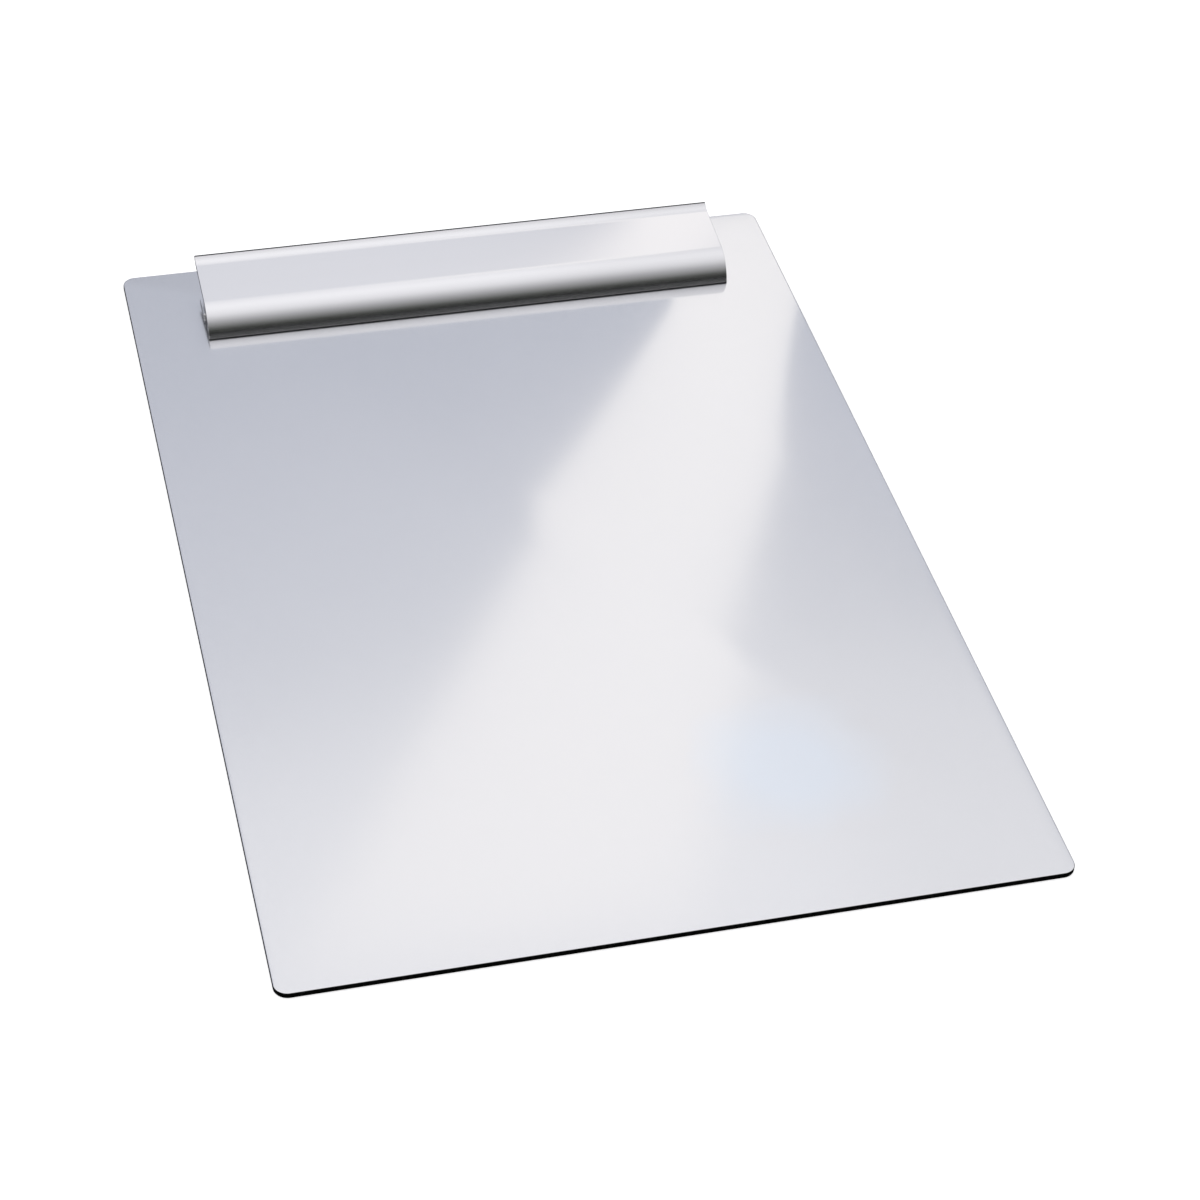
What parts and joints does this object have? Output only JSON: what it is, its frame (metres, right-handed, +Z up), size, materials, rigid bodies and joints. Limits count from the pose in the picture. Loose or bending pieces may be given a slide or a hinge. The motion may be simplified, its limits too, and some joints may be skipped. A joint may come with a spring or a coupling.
{
  "type": "clipboard",
  "caption": "Flat metal clipboard with rounded corners and a long sprung clamp along its top edge; pressing the clamp's upturned rear lip lifts its curved nose off the plate.",
  "frame": {"origin": "middle of the plate's underside, where the board rests", "axes": "+X across the board to the right, +Y along the board towards the clamp, +Z up out of the writing face"},
  "size_m": [0.229, 0.34, 0.0149],
  "materials": {
    "plate": "satin anodised sheet",
    "extrusion": "satin anodised extrusion with fine die lines",
    "grip": "matt black",
    "rod": "bright drawn steel",
    "cap": "pressed spring steel",
    "bush": "natural nylon",
    "spring_wire": "music wire",
    "rivet": "plain",
    "mandrel": "plain, broken off"
  },
  "bodies": {
    "board": {"backing_plate": "plate", "hinge_base": "extrusion", "hinge_rod": "rod", "rod_cap_left": "cap", "rod_cap_right": "cap", "torsion_spring_1": "spring_wire", "torsion_spring_2": "spring_wire", "torsion_spring_3": "spring_wire", "torsion_spring_4": "spring_wire", "rivet_1": "rivet", "rivet_2": "rivet", "rivet_3": "rivet", "rivet_4": "rivet", "rivet_mandrel_1": "mandrel", "rivet_mandrel_2": "mandrel", "rivet_mandrel_3": "mandrel", "rivet_mandrel_4": "mandrel"},
    "lever": {"clamp_lever": "extrusion", "grip_strip": "grip", "hinge_bush_1": "bush", "hinge_bush_2": "bush", "hinge_bush_3": "bush", "hinge_bush_4": "bush", "hinge_bush_5": "bush"}
  },
  "joints": [
    {"name": "clamp_hinge", "type": "hinge", "parent": "board", "child": "lever", "pos_m": [0.0017, 0.1461, 0.00685], "axis": [-1, 0, 0], "range_deg": [0, 41], "stiffness_Nm_per_rad": 0.54, "springref_deg": -44.98, "deforming": ["torsion_spring_1", "torsion_spring_2", "torsion_spring_3", "torsion_spring_4"]}
  ]
}
